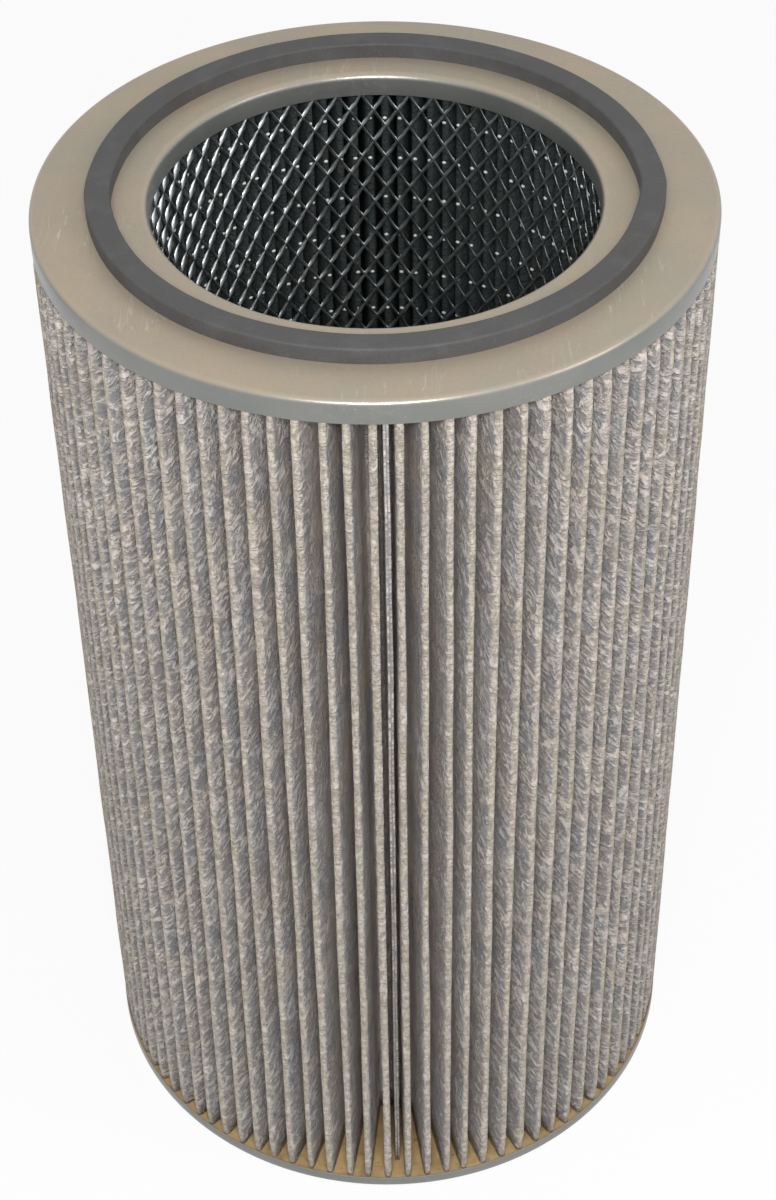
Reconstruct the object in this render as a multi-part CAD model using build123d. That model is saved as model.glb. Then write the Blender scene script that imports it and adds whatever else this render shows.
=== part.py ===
from build123d import *
from math import asin, atan2, cos, hypot, pi, radians, sin
import os

# Pleated cartridge filter element, standing on its closed end.
# The axis is Z, the base's underside is z = 0, and the open end faces up.

# Overall sizes, in millimetres.
outer_diameter = 324.0
body_height = 562.0
bore_diameter = 213.0

# Pressed sheet-steel end caps.
sheet = 1.0
rim_radius = 3.0
lip_radius = 3.5
top_cap_depth = 12.0
bottom_cap_depth = 8.0

# Seal, glued on the open end.
gasket_mean_diameter = 258.0
gasket_width = 12.0
gasket_height = 8.0
gasket_edge = 2.5

# Adhesive that both caps are filled with.
potting_over_rounds = 0.1
potting_below_edge = 1.0

# Folded media.
pleat_count = 90
media_thickness = 1.0
fold_radius = 1.85
tip_clearance = 0.4
seam_azimuth = -89.0
seam_glue = 0.4
seam_setback = 1.2

# Diamond-mesh core.
core_clearance = 0.3
strand_thickness = 0.75
strand_width = 1.5
knuckle_gap = 0.05
core_to_media = 0.5
diamonds_around = 56
diamond_height = 18.2

# Worked out from the sizes above.
outer_radius = outer_diameter / 2
bore_radius = bore_diameter / 2
cap_inside = outer_radius - sheet
collar_outside = bore_radius + sheet
top_plate_under = body_height - sheet
potting_bed = max(rim_radius, lip_radius) - sheet + potting_over_rounds
top_potting_face = body_height - top_cap_depth + potting_below_edge
bottom_potting_face = bottom_cap_depth - potting_below_edge
media_top = top_plate_under - potting_bed
media_bottom = sheet + potting_bed

core_inside = collar_outside + core_clearance
core_outside = core_inside + 2 * strand_thickness + knuckle_gap
tip_radius = cap_inside - tip_clearance
root_radius = core_outside + core_to_media
fold_line = fold_radius - media_thickness / 2
pleat_step = 2 * pi / pleat_count


def polar(radius, angle):
    return radius * cos(angle), radius * sin(angle)


def ring_profile(points):
    """Turn an outline of (radius, height) points about the axis."""
    outline = make_face(Polyline([(r, 0, z) for r, z in points], close=True).edges())
    return revolve(outline, Axis.Z)


def top_end_cap():
    """An annular pan: a flat face with a rounded rim, a skirt and a rolled-in collar."""
    solid = ring_profile([
        (bore_radius, body_height - top_cap_depth),
        (bore_radius, body_height),
        (outer_radius, body_height),
        (outer_radius, body_height - top_cap_depth),
        (cap_inside, body_height - top_cap_depth),
        (cap_inside, top_plate_under),
        (collar_outside, top_plate_under),
        (collar_outside, body_height - top_cap_depth),
    ])
    solid = round_ring(solid, outer_radius, body_height, rim_radius)
    solid = round_ring(solid, bore_radius, body_height, lip_radius)
    solid = round_ring(solid, cap_inside, top_plate_under, rim_radius - sheet)
    return round_ring(solid, collar_outside, top_plate_under, lip_radius - sheet)


def bottom_end_cap():
    """A closed round pan."""
    solid = ring_profile([
        (0, 0),
        (outer_radius, 0),
        (outer_radius, bottom_cap_depth),
        (cap_inside, bottom_cap_depth),
        (cap_inside, sheet),
        (0, sheet),
    ])
    solid = round_ring(solid, outer_radius, 0, rim_radius)
    return round_ring(solid, cap_inside, sheet, rim_radius - sheet)


def round_ring(solid, radius, height, size):
    """Round the one circular edge at this radius and height."""
    picked = [
        edge for edge in solid.edges().filter_by(GeomType.CIRCLE)
        if abs(edge.radius - radius) < 1e-6 and abs(edge.center().Z - height) < 1e-6
    ]
    return fillet(picked, size)


def sealing_gasket():
    """A flat strip seal, proud of the cap's face, with softened top edges."""
    inner = (gasket_mean_diameter - gasket_width) / 2
    outer = inner + gasket_width
    top = body_height + gasket_height
    solid = ring_profile([(inner, body_height), (outer, body_height), (outer, top), (inner, top)])
    solid = round_ring(solid, inner, top, gasket_edge)
    return round_ring(solid, outer, top, gasket_edge)


def fold_centres():
    """Centres of the folds in order round the pack, with the side each one turns to.

    The pack opens at the seam, where both ends of the sheet stand outwards,
    so it starts and ends with an inner fold beside the seam.
    """
    seam = radians(seam_azimuth)
    tip_line = tip_radius - fold_radius
    root_line = root_radius + fold_radius
    beside_seam = asin((seam_glue / 2 + fold_radius) / root_line)
    folds = [(polar(root_line, seam + beside_seam), -1)]
    for index in range(pleat_count):
        tip_angle = seam + (index + 0.5) * pleat_step
        folds.append((polar(tip_line, tip_angle), 1))
        if index < pleat_count - 1:
            folds.append((polar(root_line, tip_angle + pleat_step / 2), -1))
    folds.append((polar(root_line, seam - beside_seam), -1))
    return folds


def leg_direction(first, second):
    """Direction of the straight leg that runs from one fold to the next."""
    (x1, y1), side = first
    (x2, y2), _ = second
    turn = asin(2 * fold_line / hypot(x2 - x1, y2 - y1))
    return atan2(y2 - y1, x2 - x1) + side * turn


def sheet_side(offset):
    """One face of the folded sheet, from its start to its end, as a list of edges.

    offset is the distance to the left of the sheet's middle line.
    """
    seam = radians(seam_azimuth)
    folds = fold_centres()
    headings = [seam + pi]
    headings += [leg_direction(a, b) for a, b in zip(folds, folds[1:])]
    headings += [seam]
    edges = []
    start = seam_end(1, offset)
    for (centre, side), arriving, leaving in zip(folds, headings, headings[1:]):
        radius = fold_line - side * offset
        first, last = [on_fold(centre, side, radius, heading) for heading in (arriving, leaving)]
        turned = (side * (leaving - arriving)) % (2 * pi)
        middle = on_fold(centre, side, radius, arriving + side * turned / 2)
        edges.append(Line(start, first))
        edges.append(ThreePointArc(first, middle, last))
        start = last
    edges.append(Line(start, seam_end(-1, offset)))
    return edges


def on_fold(centre, side, radius, heading):
    """The point of a fold where the sheet runs along this heading."""
    return (centre[0] + side * radius * sin(heading), centre[1] - side * radius * cos(heading))


def seam_end(side, offset):
    """A corner of the sheet's raw edge, on one side of the seam."""
    seam = radians(seam_azimuth)
    across = side * (seam_glue / 2 + media_thickness / 2 - offset)
    out = tip_radius - seam_setback
    return (out * cos(seam) - across * sin(seam), out * sin(seam) + across * cos(seam))


def pleat_faces():
    """The sheet's own section, and the outlines of its two sides closed over the seam."""
    half = media_thickness / 2
    inner_side = sheet_side(half)
    outer_side = sheet_side(-half)
    section = inner_side + outer_side
    section.append(Line(seam_end(1, half), seam_end(1, -half)))
    section.append(Line(seam_end(-1, half), seam_end(-1, -half)))
    inner_outline = inner_side + [Line(seam_end(-1, half), seam_end(1, half))]
    outer_outline = outer_side + [Line(seam_end(-1, -half), seam_end(1, -half))]
    return [closed_wire(edges) for edges in (section, inner_outline, outer_outline)]


def closed_wire(parts):
    edges = [edge for part in parts for edge in part.edges()]
    return Wire(Wire.combine(edges, tol=1e-5)[0].edges())


def disc(radius):
    return Wire.make_circle(radius)


def layer(outline, hole, low, high):
    """A flat layer between two heights, inside an outline and round a hole."""
    face = Face(outline, [hole]) if hole else Face(outline)
    return extrude(Pos(0, 0, low) * face, amount=high - low, dir=(0, 0, 1))


def top_potting(inner_outline, outer_outline):
    """Adhesive in the top cap: a bed under the plate, then a layer round the pleat ends."""
    bed = ring_profile([
        (collar_outside, media_top),
        (cap_inside, media_top),
        (cap_inside - potting_bed, top_plate_under),
        (collar_outside + lip_radius - sheet, top_plate_under),
        (collar_outside, top_plate_under - lip_radius + sheet),
    ])
    outside = layer(disc(cap_inside), outer_outline, top_potting_face, media_top)
    inside = layer(inner_outline, disc(core_outside), top_potting_face, media_top)
    return bed + outside + inside


def bottom_potting(inner_outline, outer_outline):
    """Adhesive in the closed pan: a full bed, then a layer round the pleats and the core."""
    bed = ring_profile([
        (0, sheet),
        (cap_inside - potting_bed, sheet),
        (cap_inside, media_bottom),
        (0, media_bottom),
    ])
    outside = layer(disc(cap_inside), outer_outline, media_bottom, bottom_potting_face)
    inside = layer(inner_outline, disc(core_outside), media_bottom, bottom_potting_face)
    middle = layer(disc(core_inside), None, media_bottom, bottom_potting_face)
    return bed + outside + inside + middle


def seam_adhesive():
    """The glue line between the sheet's two ends, where they stand side by side."""
    seam = radians(seam_azimuth)
    length = tip_radius - seam_setback - root_radius - fold_radius
    middle = (tip_radius - seam_setback + root_radius + fold_radius) / 2
    height = top_potting_face - bottom_potting_face
    strip = Box(length, seam_glue, height, align=(Align.CENTER, Align.CENTER, Align.MIN))
    place = Pos(middle * cos(seam), middle * sin(seam), bottom_potting_face)
    return place * Rotation(0, 0, seam_azimuth) * strip


def core_strand(inside, direction):
    """One strand of the mesh, winding up round the core between the two end bands."""
    length = top_potting_face - bottom_potting_face
    rise = atan2(diamond_height, 2 * pi * core_inside / diamonds_around)
    half_angle = strand_width / sin(rise) / 2 / inside
    outside = inside + strand_thickness
    corners = [polar(r, s * half_angle) for r, s in ((inside, -1), (outside, -1), (outside, 1), (inside, 1))]
    section = closed_wire([
        Line(corners[0], corners[1]),
        ThreePointArc(corners[1], (outside, 0), corners[2]),
        Line(corners[2], corners[3]),
        ThreePointArc(corners[3], (inside, 0), corners[0]),
    ])
    twist = direction * 360 / diamonds_around * length / diamond_height
    return Solid.extrude_linear_with_rotation(section, (0, 0, 0), (0, 0, length), twist)


def inner_core():
    """A tube of diamond mesh: strands crossing at the knuckles, and a plain band at each end."""
    outer_layer = core_inside + strand_thickness + knuckle_gap
    layers = [core_strand(core_inside, 1), core_strand(outer_layer, -1)]
    strands = [
        Rotation(0, 0, 360 / diamonds_around * index) * Pos(0, 0, bottom_potting_face) * strand
        for strand in layers for index in range(diamonds_around)
    ]
    lower = layer(disc(core_outside), disc(core_inside), media_bottom, bottom_potting_face)
    upper = layer(disc(core_outside), disc(core_inside), top_potting_face, media_top)
    return Compound([*lower.solids(), *upper.solids(), *strands])


def main():
    os.makedirs("parts", exist_ok=True)
    sheet_outline, inner_outline, outer_outline = pleat_faces()
    nodes = {
        "top_end_cap": top_end_cap(),
        "sealing_gasket": sealing_gasket(),
        "top_potting": top_potting(inner_outline, outer_outline),
        "pleated_media": layer(sheet_outline, None, media_bottom, media_top),
        "seam_adhesive": seam_adhesive(),
        "inner_core": inner_core(),
        "bottom_potting": bottom_potting(inner_outline, outer_outline),
        "bottom_end_cap": bottom_end_cap(),
    }
    for name, shape in nodes.items():
        export_step(shape, f"parts/{name}.step")


main()
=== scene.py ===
# %% [markdown]
# # A pleated filter cartridge
# The real thing is a tall pack of folded grey felt, potted into two pressed steel caps. A tube of
# expanded metal holds it up from inside, and a strip gasket is glued to the open end. The frame
# holds the solids at their real size. This script gives every one its finish, and models again the
# pieces whose looks need more than a plain solid: the felt and the glue at its seam, the mesh, the
# caps, the gasket and the lower potting. The small glue beads between the pleats are made here too.

import bmesh
import bpy
from math import atan2, ceil, cos, hypot, pi, radians, sin
from mathutils import Matrix, Vector, noise


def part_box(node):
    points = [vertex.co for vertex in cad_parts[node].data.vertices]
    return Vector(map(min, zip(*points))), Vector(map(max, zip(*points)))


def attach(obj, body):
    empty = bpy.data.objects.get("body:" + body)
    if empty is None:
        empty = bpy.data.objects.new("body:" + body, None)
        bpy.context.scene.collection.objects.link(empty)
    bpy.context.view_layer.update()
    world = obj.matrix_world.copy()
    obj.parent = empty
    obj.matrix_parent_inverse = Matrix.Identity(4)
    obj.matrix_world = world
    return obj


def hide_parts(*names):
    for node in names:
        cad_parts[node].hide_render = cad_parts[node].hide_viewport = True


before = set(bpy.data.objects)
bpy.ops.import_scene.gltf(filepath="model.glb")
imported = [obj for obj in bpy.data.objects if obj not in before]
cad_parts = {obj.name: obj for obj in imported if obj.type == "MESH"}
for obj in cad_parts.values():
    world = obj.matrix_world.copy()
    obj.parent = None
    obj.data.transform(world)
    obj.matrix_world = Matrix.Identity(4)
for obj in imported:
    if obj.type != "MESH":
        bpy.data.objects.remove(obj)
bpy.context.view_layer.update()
print("nodes", sorted(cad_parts))

# %% [markdown]
# ## Sizes
# Every place is read from the frame's boxes, so the modelled pieces stand exactly where the solids
# do. Only what a box can't say, such as a wall's thickness or the number of pleats, is named here.

# %% Sizes read from the frame
cap_low, cap_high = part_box("top_end_cap")
pan_low, pan_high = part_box("bottom_end_cap")
gasket_low, gasket_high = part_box("sealing_gasket")
media_low, media_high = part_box("pleated_media")
core_low, core_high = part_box("inner_core")
base_pot_low, base_pot_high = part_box("bottom_potting")

MM = 0.001
FULL_TURN = 2 * pi
SHEET = 1.0 * MM
RIM_ROUND = 3.0 * MM
LIP_ROUND = 3.5 * MM
BORE_RADIUS = 106.5 * MM
GASKET_WIDTH = 12.0 * MM
PLEATS = 90
SEAM_AZIMUTH = radians(-89.0)
FELT = 1.0 * MM
DIAMONDS_AROUND = 56
DIAMOND_HEIGHT = 18.2 * MM

cap_radius = cap_high[0]
tip_radius = media_high[0]
core_radius = core_high[0]
root_radius = core_radius + 0.5 * MM
print("cap radius", round(cap_radius, 4), "core radius", round(core_radius, 4))


# %% [markdown]
# ## Small tools
# A round part is a profile turned about the axis. The profile is a chain of vertices, `spin` turns
# it, and its corners are rounded afterwards by a bevel on the rings that need it. That keeps each
# profile down to the corners that a draughtsman would dimension.

# %% Mesh tools
def finish_mesh(bm, name, sharp_degrees=35.0):
    """Turn a bmesh into an object that rides on the root, smooth but for its real edges."""
    mesh = bpy.data.meshes.new(name)
    bm.to_mesh(mesh)
    bm.free()
    mesh.polygons.foreach_set("use_smooth", [True] * len(mesh.polygons))
    mesh.set_sharp_from_angle(angle=radians(sharp_degrees))
    piece = bpy.data.objects.new(name, mesh)
    bpy.context.collection.objects.link(piece)
    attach(piece, "root")
    print(name, "faces", len(mesh.polygons))
    return piece


def turned(profile, steps, closed=True):
    """Spin a chain of (radius, height) corners about the axis into a closed skin."""
    bm = bmesh.new()
    ring = [bm.verts.new((radius, 0, height)) for radius, height in profile]
    pairs = list(zip(ring, ring[1:]))
    if closed:
        pairs.append((ring[-1], ring[0]))
    edges = [bm.edges.new(pair) for pair in pairs]
    bmesh.ops.spin(bm, geom=ring + edges, cent=(0, 0, 0), axis=(0, 0, 1), dvec=(0, 0, 0),
                   angle=FULL_TURN, steps=steps, use_merge=True, use_duplicate=False)
    bmesh.ops.remove_doubles(bm, verts=bm.verts, dist=1e-6)
    bmesh.ops.recalc_face_normals(bm, faces=bm.faces)
    return bm


def round_edge(bm, radius, height, size, segments=4):
    """Round the ring of edges at this radius and height."""
    def on_ring(vert):
        return abs(hypot(vert.co.x, vert.co.y) - radius) < 1e-5 and abs(vert.co.z - height) < 1e-5
    picked = [edge for edge in bm.edges if all(on_ring(vert) for vert in edge.verts)]
    bmesh.ops.bevel(bm, geom=picked, offset=size, offset_type="OFFSET", affect="EDGES",
                    segments=segments, profile=0.5, material=-1, clamp_overlap=False)


# %% [markdown]
# ## Shared material tools
# Every finish is built from the same few effects, so each effect is a node group with named inputs
# and outputs. A group gives out only values and colours. The Principled shader stays in the
# material itself, where its constant settings can be read.

# %% Node helpers
def srgb(red, green, blue):
    """A colour as seen on a screen, 0 to 255, as the linear values that Blender mixes."""
    def linear(value):
        value /= 255
        return value / 12.92 if value <= 0.04045 else ((value + 0.055) / 1.055) ** 2.4
    return (linear(red), linear(green), linear(blue), 1.0)


class Graph:
    """A node tree with short calls for the nodes that the finishes use."""

    def __init__(self, tree):
        self.tree = tree

    def node(self, kind, settings=None, **inputs):
        made = self.tree.nodes.new(kind)
        for key, value in (settings or {}).items():
            setattr(made, key, value)
        for key, value in inputs.items():
            self.feed(made.inputs[key.replace("_", " ")], value)
        return made

    def feed(self, socket, value):
        if isinstance(value, bpy.types.NodeSocket):
            self.tree.links.new(value, socket)
        else:
            socket.default_value = value

    def math(self, operation, first, second=0.0):
        made = self.tree.nodes.new("ShaderNodeMath")
        made.operation = operation
        self.feed(made.inputs[0], first)
        self.feed(made.inputs[1], second)
        return made.outputs[0]

    def remap(self, value, low, high, to_low=0.0, to_high=1.0, smooth=True):
        made = self.tree.nodes.new("ShaderNodeMapRange")
        made.interpolation_type = "SMOOTHSTEP" if smooth else "LINEAR"
        for index, setting in enumerate((value, low, high, to_low, to_high)):
            self.feed(made.inputs[index], setting)
        return made.outputs[0]

    def mix(self, factor, first, second, blend="MIX"):
        made = self.tree.nodes.new("ShaderNodeMix")
        made.data_type = "RGBA"
        made.blend_type = blend
        self.feed(made.inputs["Factor"], factor)
        self.feed(made.inputs[6], first)
        self.feed(made.inputs[7], second)
        return made.outputs[2]

    def noise(self, vector, scale, detail=3.0, roughness=0.5, distortion=0.0):
        made = self.node("ShaderNodeTexNoise", Vector=vector, Scale=scale, Detail=detail,
                         Roughness=roughness, Distortion=distortion)
        return made.outputs["Fac"]

    def mapped(self, vector, scale=(1, 1, 1), rotation=(0, 0, 0)):
        made = self.node("ShaderNodeMapping", Vector=vector, Scale=scale, Rotation=rotation)
        return made.outputs["Vector"]

    def radius(self, vector):
        """Distance from the axis."""
        split = self.node("ShaderNodeSeparateXYZ", Vector=vector)
        squares = [self.math("MULTIPLY", split.outputs[i], split.outputs[i]) for i in (0, 1)]
        return self.math("SQRT", self.math("ADD", squares[0], squares[1]))

    def height(self, vector):
        return self.node("ShaderNodeSeparateXYZ", Vector=vector).outputs[2]


def make_group(name, inputs, outputs):
    """A shader node group with named sockets: {name: (socket type, default)}."""
    tree = bpy.data.node_groups.new(name, "ShaderNodeTree")
    for socket_name, (kind, default) in inputs.items():
        socket = tree.interface.new_socket(name=socket_name, in_out="INPUT", socket_type=kind)
        if default is not None:
            socket.default_value = default
    for socket_name, kind in outputs.items():
        tree.interface.new_socket(name=socket_name, in_out="OUTPUT", socket_type=kind)
    graph = Graph(tree)
    source = tree.nodes.new("NodeGroupInput")
    sink = tree.nodes.new("NodeGroupOutput")
    return graph, source.outputs, sink.inputs


FLOAT = "NodeSocketFloat"
VECTOR = "NodeSocketVector"


def new_material(name):
    """A material with its Principled shader, and the object's own coordinates."""
    material = bpy.data.materials.new(name)
    material.use_nodes = True
    graph = Graph(material.node_tree)
    shader = material.node_tree.nodes["Principled BSDF"]
    coordinates = graph.node("ShaderNodeTexCoord").outputs["Object"]
    return material, graph, shader, coordinates


def use_group(graph, name, **inputs):
    made = graph.tree.nodes.new("ShaderNodeGroup")
    made.node_tree = bpy.data.node_groups[name]
    for key, value in inputs.items():
        graph.feed(made.inputs[key.replace("_", " ")], value)
    return made.outputs


def bump(graph, shader, height, strength, distance):
    made = graph.node("ShaderNodeBump", Strength=strength, Distance=distance, Height=height)
    graph.feed(shader.inputs["Normal"], made.outputs["Normal"])


def clothe(piece, material):
    """Give a piece one finish."""
    piece.data.materials.clear()
    piece.data.materials.append(material)


# %% [markdown]
# ### Fibre
# Bonded felt is a mat of short curled fibres. A noise with a strong distortion winds its bands into
# curls of about a millimetre, and a coarser, softer one makes the clouds where the web is thinner.
# Two copies at crossed slants look less like marble than one would. The long loose fibres on top
# are the level line of one more noise, which winds about as a hair does.

# %% Fibre group
graph, given, result = make_group(
    "felt_fibre",
    {"Vector": (VECTOR, None), "Fibre Scale": (FLOAT, 300.0), "Cloud Scale": (FLOAT, 40.0)},
    {"Fibre": FLOAT, "Cloud": FLOAT, "Strand": FLOAT})
slant_one = graph.mapped(given["Vector"], scale=(1, 1, 0.45), rotation=(0.5, 0.35, 0))
slant_two = graph.mapped(given["Vector"], scale=(1, 1, 0.55), rotation=(-0.6, -0.3, 0.8))
curls_one = graph.noise(slant_one, given["Fibre Scale"], detail=4.0, roughness=0.62,
                        distortion=2.2)
curls_two = graph.noise(slant_two, given["Fibre Scale"], detail=3.0, roughness=0.6,
                        distortion=1.6)
fibre = graph.math("MULTIPLY", graph.math("ADD", curls_one, curls_two), 0.5)
graph.feed(result["Fibre"], graph.remap(fibre, 0.42, 0.59))
winding = graph.noise(slant_two, graph.math("MULTIPLY", given["Fibre Scale"], 0.7), detail=2.0,
                      distortion=1.2)
off_ridge = graph.math("ABSOLUTE", graph.math("SUBTRACT", winding, 0.52))
graph.feed(result["Strand"], graph.remap(off_ridge, 0.0, 0.035, 1.0, 0.0))
graph.feed(result["Cloud"], graph.remap(
    graph.noise(given["Vector"], given["Cloud Scale"], detail=2.5), 0.3, 0.7))
print("felt_fibre ready")

# %% [markdown]
# ### Handling marks
# Plated sheet that has been pressed, stacked and handled is never even. Broad clouds shift its
# tint, fine specks dull it, and long hairline scuffs run at odd angles. The scuffs are a thin band
# cut from a stretched noise.

# %% Handling marks group
graph, given, result = make_group(
    "handling_marks",
    {"Vector": (VECTOR, None), "Cloud Scale": (FLOAT, 14.0), "Speck Scale": (FLOAT, 900.0)},
    {"Cloud": FLOAT, "Speck": FLOAT, "Scuff": FLOAT})
graph.feed(result["Cloud"], graph.remap(
    graph.noise(given["Vector"], given["Cloud Scale"], detail=4.0, roughness=0.6), 0.3, 0.7))
graph.feed(result["Speck"], graph.remap(
    graph.noise(given["Vector"], given["Speck Scale"], detail=2.0), 0.45, 0.75))
scuff_lines = []
for turn, stretch in ((0.4, 0.06), (1.9, 0.09)):
    lined = graph.mapped(given["Vector"], scale=(1.0, stretch, 1.0), rotation=(0, 0, turn))
    band = graph.noise(lined, 260.0, detail=1.0)
    near = graph.math("ABSOLUTE", graph.math("SUBTRACT", band, 0.62))
    scuff_lines.append(graph.remap(near, 0.0, 0.012, 1.0, 0.0))
worn = graph.remap(graph.noise(given["Vector"], 22.0, detail=2.0), 0.5, 0.68)
graph.feed(result["Scuff"], graph.math(
    "MULTIPLY", graph.math("MAXIMUM", scuff_lines[0], scuff_lines[1]), worn))
print("handling_marks ready")


# %% [markdown]
# ## Plated steel
# Both caps are zinc-plated sheet with the warm cast that a yellow passivation leaves. It is a dull
# metal. Its tint is painted light and shade set by the way the sheet faces: a lighter, even tan on
# the flat face, painted as lit, and a darker grey on the skirt and the collar, painted as shade.
# The rounded rims catch the lamps. A half-metal with a satin roughness keeps the tan in the face
# and still gives the rims a bright line.

# %% Cap finish
def cap_steel_material():
    material, graph, shader, place = new_material("cap_steel")
    marks = use_group(graph, "handling_marks", Vector=place, Cloud_Scale=16.0, Speck_Scale=700.0)
    facing = graph.node("ShaderNodeNewGeometry").outputs["Normal"]
    # Painted light and shade: the more the sheet faces up, the more it takes the lighter tan
    # painted as lit; the skirt and the collar take the darker grey painted as shade.
    level = graph.remap(graph.math("ABSOLUTE", graph.height(facing)), 0.25, 0.9)
    face = graph.mix(marks["Cloud"], srgb(170, 155, 134), srgb(162, 151, 136))
    tint_clouds = graph.remap(graph.noise(place, 33.0, detail=3.0), 0.42, 0.7)
    face = graph.mix(graph.math("MULTIPLY", tint_clouds, 0.4), face, srgb(153, 153, 136))
    wall = graph.mix(marks["Cloud"], srgb(118, 121, 119), srgb(131, 132, 128))
    tint = graph.mix(level, wall, face)
    tint = graph.mix(graph.math("MULTIPLY", marks["Speck"], 0.16), tint, srgb(138, 128, 112))
    tint = graph.mix(graph.math("MULTIPLY", marks["Scuff"], 0.35), tint, srgb(210, 203, 190))
    graph.feed(shader.inputs["Base Color"], tint)
    shader.inputs["Metallic"].default_value = 0.45
    rough = graph.remap(graph.math("ABSOLUTE", graph.height(facing)), 0.93, 0.999, 0.28, 0.52)
    rough = graph.math("ADD", rough, graph.math("MULTIPLY", marks["Cloud"], 0.07))
    rough = graph.math("SUBTRACT", rough, graph.math("MULTIPLY", marks["Scuff"], 0.08))
    graph.feed(shader.inputs["Roughness"], rough)
    orange_peel = graph.noise(place, 420.0, detail=2.0)
    bump(graph, shader, orange_peel, 0.12, 0.0004)
    return material


cap_steel = cap_steel_material()

# %% [markdown]
# ## The open end cap
# The real cap is one pressing: a flat annular face, a skirt turned down outside it and a collar
# rolled down into the bore. Its eight corners are spun and the four bends are then rounded, outer
# and inner alike, so the sheet keeps its thickness round each bend. A pressing is never quite flat,
# so the face is left with a swell of a few hundredths of a millimetre.

# %% Open end cap
TURN_STEPS = 240
CUT_EDGE = 0.45 * MM
FACE_SWELL = 0.06 * MM


def top_end_cap():
    top, edge = cap_high[2], cap_low[2]
    inside = cap_radius - SHEET
    collar = BORE_RADIUS + SHEET
    bm = turned([(BORE_RADIUS, edge), (BORE_RADIUS, top), (cap_radius, top), (cap_radius, edge),
                 (inside, edge), (inside, top - SHEET), (collar, top - SHEET), (collar, edge)],
                TURN_STEPS)
    round_edge(bm, cap_radius, top, RIM_ROUND, 6)
    round_edge(bm, BORE_RADIUS, top, LIP_ROUND, 6)
    round_edge(bm, inside, top - SHEET, RIM_ROUND - SHEET, 3)
    round_edge(bm, collar, top - SHEET, LIP_ROUND - SHEET, 3)
    for ring in (cap_radius, inside, BORE_RADIUS, collar):
        round_edge(bm, ring, edge, CUT_EDGE, 3)
    for vert in bm.verts:
        swell = noise.noise(Vector((vert.co.x, vert.co.y, 0.0)) * 14.0)
        vert.co.z += FACE_SWELL * swell
    return finish_mesh(bm, "cap_pressing")


piece = top_end_cap()
clothe(piece, cap_steel)
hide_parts("top_end_cap")

# %% [markdown]
# ## The closed end cap
# The foot is a plain round pan, which the cartridge stands on. It is the same pressing without the
# bore, so the same tools make it, and its underside is left plain.

# %% Closed end cap
PAN_EDGE = 0.25 * MM


def bottom_end_cap():
    low, edge = pan_low[2], pan_high[2]
    radius = pan_high[0]
    inside = radius - SHEET
    bm = turned([(0.0, low), (radius, low), (radius, edge), (inside, edge), (inside, low + SHEET),
                 (0.0, low + SHEET)], TURN_STEPS, closed=False)
    round_edge(bm, radius, low, RIM_ROUND, 5)
    round_edge(bm, inside, low + SHEET, RIM_ROUND - SHEET, 3)
    round_edge(bm, radius, edge, PAN_EDGE, 2)
    round_edge(bm, inside, edge, PAN_EDGE, 2)
    return finish_mesh(bm, "base_pan")


piece = bottom_end_cap()
clothe(piece, cap_steel)
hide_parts("bottom_end_cap")

# %% [markdown]
# ## The gasket
# It is a strip of closed-cell rubber, cut from a sheet and laid by hand on its glue, so it wanders
# by a millimetre and kinks a little where its ends meet. The section is spun, softened at its top
# edges, and then each point is pushed in or out by how far round it lies.

# %% Gasket finish
def gasket_material():
    material, graph, shader, place = new_material("gasket_rubber")
    marks = use_group(graph, "handling_marks", Vector=place, Cloud_Scale=30.0, Speck_Scale=1500.0)
    tint = graph.mix(marks["Cloud"], srgb(64, 62, 61), srgb(73, 73, 74))
    tint = graph.mix(graph.math("MULTIPLY", marks["Speck"], 0.35), tint, srgb(98, 97, 95))
    dust = graph.remap(graph.noise(place, 75.0, detail=4.0), 0.5, 0.72)
    tint = graph.mix(graph.math("MULTIPLY", dust, 0.2), tint, srgb(98, 98, 100))
    graph.feed(shader.inputs["Base Color"], tint)
    graph.feed(shader.inputs["Roughness"], graph.remap(marks["Cloud"], 0, 1, 0.62, 0.74))
    cells = graph.noise(place, 1300.0, detail=2.0)
    bump(graph, shader, cells, 0.35, 0.0003)
    return material


# %% Gasket
KINKS = ((radians(-3.0), 1.1 * MM), (radians(183.0), 0.7 * MM))
KINK_REACH = radians(11.0)
DRIFT = 0.5 * MM
GASKET_EDGE = 1.3 * MM
GASKET_DENTS = 0.25 * MM


def gasket_wander(azimuth):
    """How far the hand-laid strip strays outwards: a slow drift, and a kink at each joint."""
    drift = DRIFT * noise.noise(Vector((cos(azimuth), sin(azimuth), 3.0)) * 1.7)
    for kink, depth in KINKS:
        away = abs((azimuth - kink + pi) % FULL_TURN - pi)
        drift += depth * max(0.0, 1.0 - away / KINK_REACH)
    return drift


def sealing_gasket():
    outer = gasket_high[0]
    inner = outer - GASKET_WIDTH
    low, top = gasket_low[2], gasket_high[2]
    bm = turned([(inner, low), (outer, low), (outer, top), (inner, top)], TURN_STEPS)
    round_edge(bm, inner, top, GASKET_EDGE, 4)
    round_edge(bm, outer, top, GASKET_EDGE, 4)
    for vert in bm.verts:
        radius = hypot(vert.co.x, vert.co.y)
        azimuth = atan2(vert.co.y, vert.co.x)
        scale = 1 + gasket_wander(azimuth) / radius
        vert.co.x *= scale
        vert.co.y *= scale
        if vert.co.z > low + MM:
            vert.co.z -= GASKET_DENTS * abs(noise.noise(vert.co * 40.0))
    return finish_mesh(bm, "gasket_strip", 50.0)


piece = sealing_gasket()
clothe(piece, gasket_material())
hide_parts("sealing_gasket")
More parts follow.
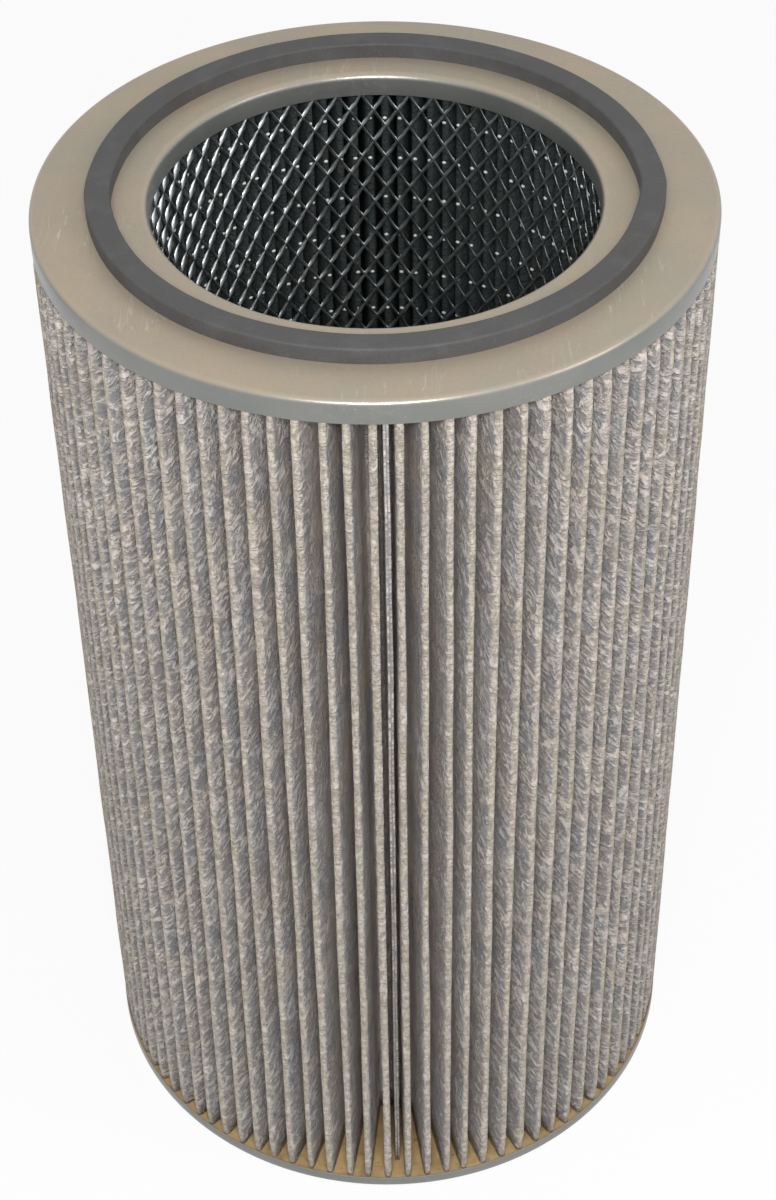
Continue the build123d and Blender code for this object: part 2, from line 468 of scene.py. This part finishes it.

# %% [markdown]
# ## The felt
# The medium is one long sheet of bonded felt, folded into deep pleats and closed at a seam where
# its two ends stand out side by side. One pleat is a short chain of points: round the outer fold,
# down a leg, round the inner fold and up again. Ninety of them, each turned a little further, make
# the whole section, which is then pulled up the cartridge in steps so that it can be bent.
# The finish mixes curled fibres into a blue-grey web. Dust has settled on the outer folds and
# turned them warmer. The felt deep between the pleats is painted paler: partly cleaner felt, and
# partly painted light that offsets the shade in the valleys.

# %% Felt finish
WEB_STRETCH = 0.33
# The paler deep felt is partly cleaner felt and partly painted light against the shade in the
# valleys.
CLEAN_PAINTED_LIGHT = 1.25
CLEAN_PAINTED_LIGHT_DEPTH = 28 * MM
DUSTY_DEPTH = 5 * MM


def felt_material(name, legs, tips):
    """Bonded felt: legs and tips are each a dark and a light colour, which the fibres mix."""
    material, graph, shader, place = new_material(name)
    along = graph.node("ShaderNodeAttribute", {"attribute_name": "along"}).outputs["Fac"]
    sheet = graph.node("ShaderNodeCombineXYZ", X=graph.math("MULTIPLY", along, WEB_STRETCH),
                       Z=graph.height(place)).outputs[0]
    web = use_group(graph, "felt_fibre", Vector=sheet, Fibre_Scale=330.0, Cloud_Scale=28.0)
    leg = graph.mix(web["Fibre"], *legs)
    # Painted light: the legs grow paler towards the inner folds, partly as cleaner felt and partly
    # as light painted over the shade there.
    clean_painted_light = graph.remap(graph.radius(place), tip_radius - CLEAN_PAINTED_LIGHT_DEPTH, tip_radius - DUSTY_DEPTH,
                        1.0, 0.0)
    clean_painted_light_felt = [CLEAN_PAINTED_LIGHT * part for part in legs[1][:3]] + [1]
    leg = graph.mix(graph.math("MULTIPLY", clean_painted_light, 0.8), leg, clean_painted_light_felt)
    blue = graph.remap(graph.noise(sheet, 30.0, detail=2.0), 0.42, 0.62)
    leg = graph.mix(graph.math("MULTIPLY", blue, 0.45), leg, srgb(206, 216, 228), "MULTIPLY")
    leg = graph.mix(graph.math("MULTIPLY", web["Cloud"], 0.5), leg, srgb(248, 230, 218), "MULTIPLY")
    leg = graph.mix(graph.math("MULTIPLY", web["Strand"], 0.4), leg, tips[1])
    worn = use_group(graph, "felt_fibre", Vector=place, Fibre_Scale=260.0, Cloud_Scale=60.0)
    fold = graph.mix(worn["Fibre"], *tips)
    fold_green = graph.remap(graph.noise(place, 55.0, detail=2.0), 0.4, 0.62)
    fold = graph.mix(graph.math("MULTIPLY", fold_green, 0.7), fold, srgb(244, 250, 230), "MULTIPLY")
    tip = graph.node("ShaderNodeAttribute", {"attribute_name": "fold"}).outputs["Fac"]
    tip = graph.remap(tip, 0.25, 0.95)
    graph.feed(shader.inputs["Base Color"], graph.mix(tip, leg, fold))
    shader.inputs["Roughness"].default_value = 0.95
    shader.inputs["Specular IOR Level"].default_value = 0.2
    shader.inputs["Sheen Weight"].default_value = 0.5
    shader.inputs["Sheen Roughness"].default_value = 0.5
    graph.feed(shader.inputs["Sheen Tint"], leg)
    relief = graph.math("ADD", web["Fibre"], graph.math("MULTIPLY", web["Strand"], 0.5))
    bump(graph, shader, relief, 0.9, 0.0012)
    return material


# %% Section of the pleats
PLEAT_STEP = FULL_TURN / PLEATS
FOLD_RADIUS = 1.35 * MM
OUTER_FOLD_POINTS = 6
INNER_FOLD_POINTS = 4
LEG_SHARES = (0.3, 0.7)
END_GAP = 0.7 * MM
END_DEPTH = 14 * MM
END_SETBACK = 1.2 * MM
FOLD_FROM_SEAM = 2.05 * MM


def fold_points(centre_radius, azimuth, points, outward):
    """Points round one fold, in order of rising azimuth."""
    turned_points = []
    for index in range(points):
        angle = pi * (index / (points - 1) - 0.5)
        across = FOLD_RADIUS * sin(angle)
        along = FOLD_RADIUS * cos(angle) * (1 if outward else -1)
        local = Vector((centre_radius + along, across, 0.0))
        turned_points.append(Matrix.Rotation(azimuth, 3, "Z") @ local)
    return turned_points


def leg_points(start, fold):
    """A leg's own points, between the fold before it and the next one, and then that fold."""
    return [start.lerp(fold[0], share) for share in LEG_SHARES] + fold


def end_points(side):
    """One of the sheet's two ends, which stand together at the seam: its edge, then its foot."""
    beside = Matrix.Rotation(SEAM_AZIMUTH, 3, "Z")
    edge = tip_radius - END_SETBACK
    return [beside @ Vector((reach, side * END_GAP, 0)) for reach in (edge, edge - END_DEPTH)]


def felt_section():
    """The sheet's middle line, from the seam all the way round to the seam again."""
    tip_line = tip_radius - FELT / 2 - FOLD_RADIUS
    root_line = root_radius + FELT / 2 + FOLD_RADIUS
    seam_turn = FOLD_FROM_SEAM / root_line
    chain = end_points(1)
    chain += fold_points(root_line, SEAM_AZIMUTH + seam_turn, INNER_FOLD_POINTS, False)
    for index in range(PLEATS):
        azimuth = SEAM_AZIMUTH + (index + 0.5) * PLEAT_STEP
        chain += leg_points(chain[-1], fold_points(tip_line, azimuth, OUTER_FOLD_POINTS, True))
        last = index == PLEATS - 1
        root = SEAM_AZIMUTH - seam_turn if last else azimuth + PLEAT_STEP / 2
        chain += leg_points(chain[-1], fold_points(root_line, root, INNER_FOLD_POINTS, False))
    return chain + end_points(-1)[::-1]


print("points in the section", len(felt_section()))

# %% [markdown]
# ### Unevenness
# Real pleats are not even. They were pushed together by hand, so their spacing wanders, and each
# leg bows and ripples between the two pottings. Both are done by moving the points, more at
# mid-height than at the ends, where the adhesive holds them true. The two ends at the seam also
# step back towards the foot, as the sheet was not cut square.

# %% Bends of the felt
SIDE_BULGE = 1.5 * MM
TIP_RIPPLE = 0.45 * MM
LEG_BOW = 0.5 * MM
HELD_SHARE = 0.03
ROOT_WANDER = 0.35
SEAM_REACH = 1.6 * MM
SEAM_SLANT = 12.0 * MM


def around(azimuth, size, level):
    """Smooth noise that closes on itself round the cartridge; a larger size gives more waves."""
    return noise.noise(Vector((cos(azimuth) * size, sin(azimuth) * size, level)))


def pleat_wander(azimuth, height_share):
    """Change of azimuth that makes the pleats uneven, in radians."""
    slow = around(azimuth, 9.0, 1.0)
    lean = around(azimuth, 16.0, 4.0 + height_share * 1.3)
    fine = around(azimuth, 40.0, 9.0 + height_share * 9.0)
    return (radians(0.55) * slow + radians(0.5) * lean * sin(pi * height_share)
            + radians(0.14) * fine)


def seam_lean(height_share):
    """How far the sheet's ends and their glue stand out from the section at each height."""
    return SIDE_BULGE - SEAM_SLANT * (1 - height_share)


def bend_felt(bm):
    """Bow, ripple and crowd the pleats, and mark how near each point is to an outer fold."""
    low, high = media_low[2], media_high[2]
    fold = bm.verts.layers.float.new("fold")
    for vert in bm.verts:
        radius = hypot(vert.co.x, vert.co.y)
        azimuth = atan2(vert.co.y, vert.co.x)
        vert[fold] = min(1.0, max(0.0, 1 - (tip_radius - FELT / 2 - radius) / FOLD_RADIUS))
        at_seam = abs(azimuth - SEAM_AZIMUTH) * radius < SEAM_REACH
        share = (vert.co.z - low) / (high - low)
        free = min(1.0, min(share, 1 - share) / HELD_SHARE)
        out = max(0.0, (radius - root_radius) / (tip_radius - root_radius))
        azimuth += pleat_wander(azimuth, share) * (ROOT_WANDER + (1 - ROOT_WANDER) * out)
        ripple = TIP_RIPPLE * around(azimuth, 30.0, share * 16.0)
        bow = noise.noise(Vector((vert.co.x * 55.0, vert.co.y * 55.0, vert.co.z * 24.0)))
        azimuth += LEG_BOW * bow * sin(pi * min(1.0, out)) * free / radius
        push = seam_lean(share) if at_seam else SIDE_BULGE * free
        radius += (push + ripple * free) * out
        vert.co.x = radius * cos(azimuth)
        vert.co.y = radius * sin(azimuth)


# %% [markdown]
# ### The sheet
# The section is drawn up the cartridge in steps, and each point keeps its distance along the sheet,
# so that the finish can lie on the felt as it did before folding. A Solidify then gives the felt
# its thickness. Its far side takes the second material, because the downstream face of this felt
# is dark.

# %% Felt
FELT_ROWS = 30


def pleated_media():
    bm = bmesh.new()
    along = bm.verts.layers.float.new("along")
    chain = [bm.verts.new(point) for point in felt_section()]
    edges = [bm.edges.new(pair) for pair in zip(chain, chain[1:])]
    for edge, (near, far) in zip(edges, zip(chain, chain[1:])):
        far[along] = near[along] + edge.calc_length()
    bmesh.ops.translate(bm, vec=(0, 0, media_low[2]), verts=bm.verts)
    step = (media_high[2] - media_low[2]) / FELT_ROWS
    for _ in range(FELT_ROWS):
        grown = bmesh.ops.extrude_edge_only(bm, edges=edges)["geom"]
        edges = [part for part in grown if isinstance(part, bmesh.types.BMEdge)
                 and all(vert in grown for vert in part.verts)]
        raised = {vert for edge in edges for vert in edge.verts}
        bmesh.ops.translate(bm, vec=(0, 0, step), verts=list(raised))
    bend_felt(bm)
    face_outwards(bm)
    return finish_mesh(bm, "felt_pack", 180.0)


def face_outwards(bm):
    """Turn every face the same way, with the outermost one facing away from the axis."""
    bmesh.ops.recalc_face_normals(bm, faces=bm.faces)
    outermost = max(bm.faces, key=lambda face: face.calc_center_median().to_2d().length)
    if outermost.normal.to_2d().dot(outermost.calc_center_median().to_2d()) < 0:
        bmesh.ops.reverse_faces(bm, faces=bm.faces)


def thicken(piece, name, thickness):
    """Give a sheet its thickness, half on each side."""
    wall = piece.modifiers.new(name, "SOLIDIFY")
    wall.thickness = thickness
    wall.offset = 0.0
    return wall


piece = pleated_media()
thicken(piece, "felt_thickness", FELT).material_offset = 1
clothe(piece, felt_material("media_felt", (srgb(142, 142, 144), srgb(216, 210, 204)),
                            (srgb(166, 155, 146), srgb(202, 191, 181))))
piece.data.materials.append(felt_material("media_backing", (srgb(26, 34, 36), srgb(52, 58, 58)),
                                          (srgb(34, 38, 38), srgb(64, 66, 64))))
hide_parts("pleated_media")

# %% [markdown]
# ## Seam glue
# Between the sheet's two standing ends runs a line of hot glue, grey, smooth and a little milky.
# The ends step back towards the foot, and the glue steps back with them. It is a flat grid stood on
# edge, which takes its place from the same functions as the felt, so the two can't come apart.

# %% Seam glue
def seam_material():
    material, graph, shader, place = new_material("seam_glue")
    cloud = graph.noise(graph.mapped(place, scale=(1, 1, 0.2)), 160.0, detail=3.0)
    tint = graph.mix(cloud, srgb(128, 132, 140), srgb(176, 178, 182))
    graph.feed(shader.inputs["Base Color"], tint)
    graph.feed(shader.inputs["Roughness"], graph.remap(cloud, 0.3, 0.7, 0.28, 0.5))
    bump(graph, shader, cloud, 0.3, 0.0005)
    return material


GLUE_THICKNESS = 0.5 * MM
GLUE_DEPTH = 12 * MM
GLUE_SETBACK = 1.6 * MM
GLUE_WAVE = 0.05 * MM


def seam_glue():
    low, high = media_low[2] + 4.5 * MM, media_high[2] - 0.5 * MM
    bm = bmesh.new()
    bmesh.ops.create_grid(bm, x_segments=2, y_segments=FELT_ROWS, size=0.5)
    bmesh.ops.rotate(bm, cent=(0, 0, 0), matrix=Matrix.Rotation(pi / 2, 3, "X"), verts=bm.verts)
    for vert in bm.verts:
        share = vert.co.z + 0.5
        reach = tip_radius - GLUE_SETBACK + seam_lean(share) - GLUE_DEPTH * (0.5 - vert.co.x)
        side = GLUE_WAVE * noise.noise(Vector((0.0, share * 30.0, 5.0)))
        beside = Matrix.Rotation(SEAM_AZIMUTH + pleat_wander(SEAM_AZIMUTH, share), 3, "Z")
        vert.co = beside @ Vector((reach, side, low + share * (high - low)))
    bmesh.ops.recalc_face_normals(bm, faces=bm.faces)
    return finish_mesh(bm, "glue_line", 180.0)


piece = seam_glue()
thicken(piece, "glue_thickness", GLUE_THICKNESS)
clothe(piece, seam_material())
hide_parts("seam_adhesive")

# %% [markdown]
# ## Potting
# Both caps are filled with an amber adhesive that the pleat ends are set in. Poured resin is level
# between the pleats, creeps up what it touches, and traps a few bubbles and crumbs. The open cap's
# filling is hidden behind its skirt, so its solid stays. The closed cap's filling shows between the
# pleats all round the foot, so it is turned again with a gently uneven surface.

# %% Potting finish
def potting_material():
    material, graph, shader, place = new_material("potting_resin")
    cloud = graph.remap(graph.noise(place, 60.0, detail=4.0, roughness=0.6), 0.3, 0.7)
    tint = graph.mix(cloud, srgb(206, 176, 128), srgb(184, 154, 110))
    grime = graph.remap(graph.noise(place, 150.0, detail=3.0), 0.52, 0.72)
    tint = graph.mix(graph.math("MULTIPLY", grime, 0.6), tint, srgb(134, 116, 88))
    graph.feed(shader.inputs["Base Color"], tint)
    graph.feed(shader.inputs["Roughness"], graph.remap(cloud, 0, 1, 0.35, 0.55))
    bubbles = graph.node("ShaderNodeTexVoronoi", Vector=place, Scale=260.0).outputs["Distance"]
    pits = graph.remap(bubbles, 0.05, 0.3)
    bump(graph, shader, graph.math("ADD", pits, cloud), 0.4, 0.0006)
    return material


potting = potting_material()
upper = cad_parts["top_potting"]
upper.data.materials.clear()
upper.data.materials.append(potting)


# %% Closed cap's potting
POURED_CHAMFER = 2.6 * MM
POURED_GAP = 0.02 * MM
POURED_SWELL = 0.35 * MM
CREEP = 0.5 * MM
CREEP_REACH = 2 * MM


def base_potting():
    low, level = base_pot_low[2], base_pot_high[2]
    wall = base_pot_high[0]
    rings = [wall * share for share in (0.0, 0.3, 0.6, 0.68, 0.76, 0.84, 0.92)]
    rings += [wall - 3 * MM, wall - 0.8 * MM, wall - POURED_GAP]
    profile = [(0.0, low), (wall - POURED_CHAMFER, low), (wall - POURED_GAP, low + POURED_CHAMFER)]
    profile += [(ring, level) for ring in reversed(rings)]
    bm = turned(profile, TURN_STEPS, closed=False)
    for vert in bm.verts:
        if vert.co.z > level - 0.1 * MM:
            swell = noise.noise(vert.co * 60.0) + 0.5 * noise.noise(vert.co * 210.0)
            edge = max(0.0, 1.0 - (wall - hypot(vert.co.x, vert.co.y)) / CREEP_REACH)
            vert.co.z += POURED_SWELL * swell * (1 - edge) + CREEP * edge
    return finish_mesh(bm, "base_potting", 50.0)


piece = base_potting()
clothe(piece, potting)
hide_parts("bottom_potting")

# %% [markdown]
# ## Expanded metal core
# Expanded metal is a sheet that was slit in rows and pulled open into diamonds, so every strand is
# flat, and stands steeply across the sheet, all turned the same way round the tube. That turn is
# what makes one side of the tube sparkle and the other stay black. The mesh starts as one diamond,
# copied up the tube and spun round it. Insetting each diamond and deleting its middle leaves the
# strands. Then each hole's rim is pulled in on one side and pushed out on the other, which turns
# them all, and a Solidify gives the metal its thickness.

# %% Core finish
def core_material():
    material, graph, shader, place = new_material("core_steel")
    cloud = graph.noise(place, 120.0, detail=3.0)
    tint = graph.mix(cloud, srgb(150, 156, 156), srgb(188, 192, 192))
    graph.feed(shader.inputs["Base Color"], tint)
    shader.inputs["Metallic"].default_value = 1.0
    graph.feed(shader.inputs["Roughness"], graph.remap(cloud, 0.3, 0.7, 0.34, 0.46))
    bump(graph, shader, graph.noise(place, 900.0, detail=2.0), 0.2, 0.0002)
    return material


# %% Core
STRAND = 1.5 * MM
STRAND_THICKNESS = 0.45 * MM
STRAND_INSET = 0.8 * MM
SIDE_TURN = 2.3 * MM
END_TURN = 1.1 * MM


def one_diamond(bm, radius, low):
    """A diamond with a vertex halfway along each side."""
    half_turn = pi / DIAMONDS_AROUND
    half_height = DIAMOND_HEIGHT / 2
    corners = [(-1, 1), (-0.5, 0.5), (0, 0), (0.5, 0.5), (1, 1), (0.5, 1.5), (0, 2), (-0.5, 1.5)]
    places = [(half_turn * across, low + half_height * up) for across, up in corners]
    verts = [bm.verts.new((radius * cos(turn), radius * sin(turn), rise)) for turn, rise in places]
    return bm.faces.new(verts)


def copy_moved(bm, faces, matrix):
    """Copy faces and move the copy."""
    copied = bmesh.ops.duplicate(bm, geom=faces)["geom"]
    moved = [part for part in copied if isinstance(part, bmesh.types.BMVert)]
    bmesh.ops.transform(bm, matrix=matrix, verts=moved)


def diamond_tube(radius, low, high):
    """A tube of close-set diamonds: two staggered ones, copied up and then spun round."""
    bm = bmesh.new()
    first = one_diamond(bm, radius, low)
    rise = Matrix.Translation((0, 0, DIAMOND_HEIGHT / 2))
    copy_moved(bm, [first], rise @ Matrix.Rotation(pi / DIAMONDS_AROUND, 4, "Z"))
    pair = list(bm.faces)
    for row in range(1, ceil((high - low) / DIAMOND_HEIGHT) + 1):
        copy_moved(bm, pair, Matrix.Translation((0, 0, DIAMOND_HEIGHT * row)))
    bmesh.ops.spin(bm, geom=list(bm.faces), cent=(0, 0, 0), axis=(0, 0, 1), dvec=(0, 0, 0),
                   angle=FULL_TURN, steps=DIAMONDS_AROUND, use_duplicate=True, use_merge=False)
    bmesh.ops.remove_doubles(bm, verts=bm.verts, dist=0.3 * MM)
    bmesh.ops.recalc_face_normals(bm, faces=bm.faces)
    return bm


def inner_core():
    bm = diamond_tube(core_radius - STRAND_INSET, core_low[2] - DIAMOND_HEIGHT / 2, core_high[2])
    holes = list(bm.faces)
    bmesh.ops.inset_individual(bm, faces=holes, thickness=STRAND / 2, use_even_offset=True)
    turn_strands(holes)
    bmesh.ops.delete(bm, geom=holes, context="FACES_ONLY")
    trim_core(bm, core_low[2], core_high[2])
    bmesh.ops.recalc_face_normals(bm, faces=bm.faces)
    return finish_mesh(bm, "mesh_tube", 30.0)


def turn_strands(holes):
    """Twist each strand between its knuckles: one edge of its middle goes in, the other out."""
    for hole in holes:
        middle = hole.calc_center_median()
        for vert in hole.verts:
            azimuth = atan2(vert.co.y, vert.co.x) - atan2(middle.y, middle.x)
            across = ((azimuth + pi) % FULL_TURN - pi) * DIAMONDS_AROUND / pi
            along = (vert.co.z - middle.z) / (DIAMOND_HEIGHT / 2)
            if min(abs(across), abs(along)) < 0.1:
                continue
            radial = Vector((vert.co.x, vert.co.y, 0.0)).normalized()
            vert.co -= radial * (SIDE_TURN * across + END_TURN * along)


def trim_core(bm, low, high):
    for height, normal in ((low, (0, 0, -1)), (high, (0, 0, 1))):
        bmesh.ops.bisect_plane(bm, geom=bm.verts[:] + bm.edges[:] + bm.faces[:], dist=1e-6,
                               plane_co=(0, 0, height), plane_no=normal, clear_outer=True)


piece = inner_core()
thicken(piece, "strand_thickness", STRAND_THICKNESS)
clothe(piece, core_material())
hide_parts("inner_core")

# %% [markdown]
# ## Spacer beads
# Rows of hot-glue beads keep the pleats apart. Each row crosses every inner fold away from the
# seam, and leaves a glossy drop there that catches the light behind the mesh. A drop is a small
# flattened ball, copied round the folds and up the rows.

# %% Bead finish
def bead_material():
    material, graph, shader, place = new_material("bead_glue")
    cloud = graph.noise(place, 200.0, detail=1.0)
    tint = graph.mix(cloud, srgb(196, 196, 192), srgb(226, 226, 222))
    graph.feed(shader.inputs["Base Color"], tint)
    graph.feed(shader.inputs["Roughness"], graph.remap(cloud, 0.3, 0.7, 0.08, 0.2))
    return material


# %% Beads
BEAD_PITCH = 23.5 * MM
BEAD_RADIUS = 1.2 * MM
BEAD_SHAPE = (0.55, 1.1, 0.8)
FIRST_ROW = 14.4 * MM
LAST_ROW = 18 * MM


def spacer_beads():
    bm = bmesh.new()
    first_row, last_row = media_low[2] + FIRST_ROW, media_high[2] - LAST_ROW
    rows = int((last_row - first_row) / BEAD_PITCH) + 1
    bmesh.ops.create_icosphere(bm, subdivisions=1, radius=BEAD_RADIUS)
    bmesh.ops.scale(bm, vec=BEAD_SHAPE, verts=bm.verts)
    on_fold = Matrix.Translation((root_radius + 0.1 * MM, 0, first_row))
    first_fold = Matrix.Rotation(SEAM_AZIMUTH + PLEAT_STEP, 4, "Z")
    bmesh.ops.transform(bm, matrix=first_fold @ on_fold, verts=bm.verts)
    bmesh.ops.spin(bm, geom=list(bm.faces), cent=(0, 0, 0), axis=(0, 0, 1), dvec=(0, 0, 0),
                   angle=PLEAT_STEP * (PLEATS - 2), steps=PLEATS - 2,
                   use_duplicate=True, use_merge=False)
    ring = list(bm.faces)
    for row in range(1, rows):
        copy_moved(bm, ring, Matrix.Translation((0, 0, BEAD_PITCH * row)))
    bmesh.ops.recalc_face_normals(bm, faces=bm.faces)
    print("bead rows", rows)
    return finish_mesh(bm, "spacer_beads", 180.0)


piece = spacer_beads()
clothe(piece, bead_material())

# %% [markdown]
# ## Floor, light and camera
# The object stands on pale paper that runs on past the view. The light is even and comes from all
# round, as under a bright ceiling. Two lamps add to it: a small flash just above the viewer reaches
# down between the pleats and lights the front rim, and a window on the right makes the near left
# wall of the core glint. The paper and the world are seen as white straight on and in glints, so
# the background needs no extra light on the object.

# %% Floor
def direct_view(graph):
    """1 for rays that reach the background from the camera, a glint or a clear solid, else 0."""
    paths = graph.node("ShaderNodeLightPath").outputs
    glint = graph.math("MAXIMUM", paths["Is Glossy Ray"], paths["Is Transmission Ray"])
    return graph.math("MAXIMUM", paths["Is Camera Ray"], glint)


def floor():
    bm = bmesh.new()
    bmesh.ops.create_grid(bm, x_segments=1, y_segments=1, size=6.0)
    mesh = bpy.data.meshes.new("floor")
    bm.to_mesh(mesh)
    bm.free()
    piece = bpy.data.objects.new("floor", mesh)
    bpy.context.collection.objects.link(piece)
    material = bpy.data.materials.new("floor_paper")
    material.use_nodes = True
    paper = Graph(material.node_tree)
    shader = material.node_tree.nodes["Principled BSDF"]
    shader.inputs["Base Color"].default_value = (0.9, 0.9, 0.9, 1)
    shader.inputs["Roughness"].default_value = 0.9
    glow = paper.node("ShaderNodeEmission")
    glow.inputs["Strength"].default_value = 1.0
    seen = paper.math("MULTIPLY", direct_view(paper), 0.9)
    blend = paper.node("ShaderNodeMixShader")
    paper.feed(blend.inputs[0], seen)
    paper.tree.links.new(shader.outputs[0], blend.inputs[1])
    paper.tree.links.new(glow.outputs[0], blend.inputs[2])
    paper.tree.links.new(blend.outputs[0], material.node_tree.nodes["Material Output"].inputs[0])
    mesh.materials.append(material)


floor()


# %% Lamps and world
def area_lamp(name, place, aim, size, power):
    data = bpy.data.lights.new(name, "AREA")
    data.shape = "RECTANGLE"
    data.size, data.size_y = size
    data.energy = power
    lamp = bpy.data.objects.new(name, data)
    bpy.context.collection.objects.link(lamp)
    lamp.location = place
    lamp.rotation_euler = (Vector(aim) - Vector(place)).to_track_quat("-Z", "Y").to_euler()
    return lamp


area_lamp("flash", (0.0, -1.10, 1.34), (0, 0, 0.32), (0.5, 0.24), 16)
area_lamp("window", (1.15, -0.5, 1.3), (-0.1, 0, 0.5), (0.5, 0.6), 4)

world = bpy.data.worlds.new("studio")
bpy.context.scene.world = world
world.use_nodes = True
sky = Graph(world.node_tree)
background = world.node_tree.nodes["Background"]
seen = direct_view(sky)
background.inputs["Color"].default_value = (0.98, 0.99, 1.0, 1)
sky.feed(background.inputs["Strength"], sky.remap(seen, 0, 1, 0.5, 1.0, smooth=False))

# %% [markdown]
# The camera looks down at the cartridge from a metre in front of it and 1.2 metres up, close enough
# for the foot to look clearly smaller than the open end, and leans by about a degree.

# %% Camera
CAMERA_PLACE = Vector((0.0, -1.0126, 1.2159))
CAMERA_AIM = Vector((0.0030, 0.0, 0.3040))
CAMERA_LEAN = -0.0168
FILM_HEIGHT = 24.0
LENS = 50.74

data = bpy.data.cameras.new("camera")
data.sensor_fit = "VERTICAL"
data.sensor_height = FILM_HEIGHT
data.lens = LENS
camera = bpy.data.objects.new("camera", data)
bpy.context.collection.objects.link(camera)
looking = (CAMERA_AIM - CAMERA_PLACE).to_track_quat("-Z", "Y")
camera.location = CAMERA_PLACE
camera.rotation_euler = (looking.to_matrix() @ Matrix.Rotation(CAMERA_LEAN, 3, "Z")).to_euler()
bpy.context.scene.camera = camera
bpy.context.scene.view_settings.view_transform = "Standard"
print("lens", round(data.lens, 2))
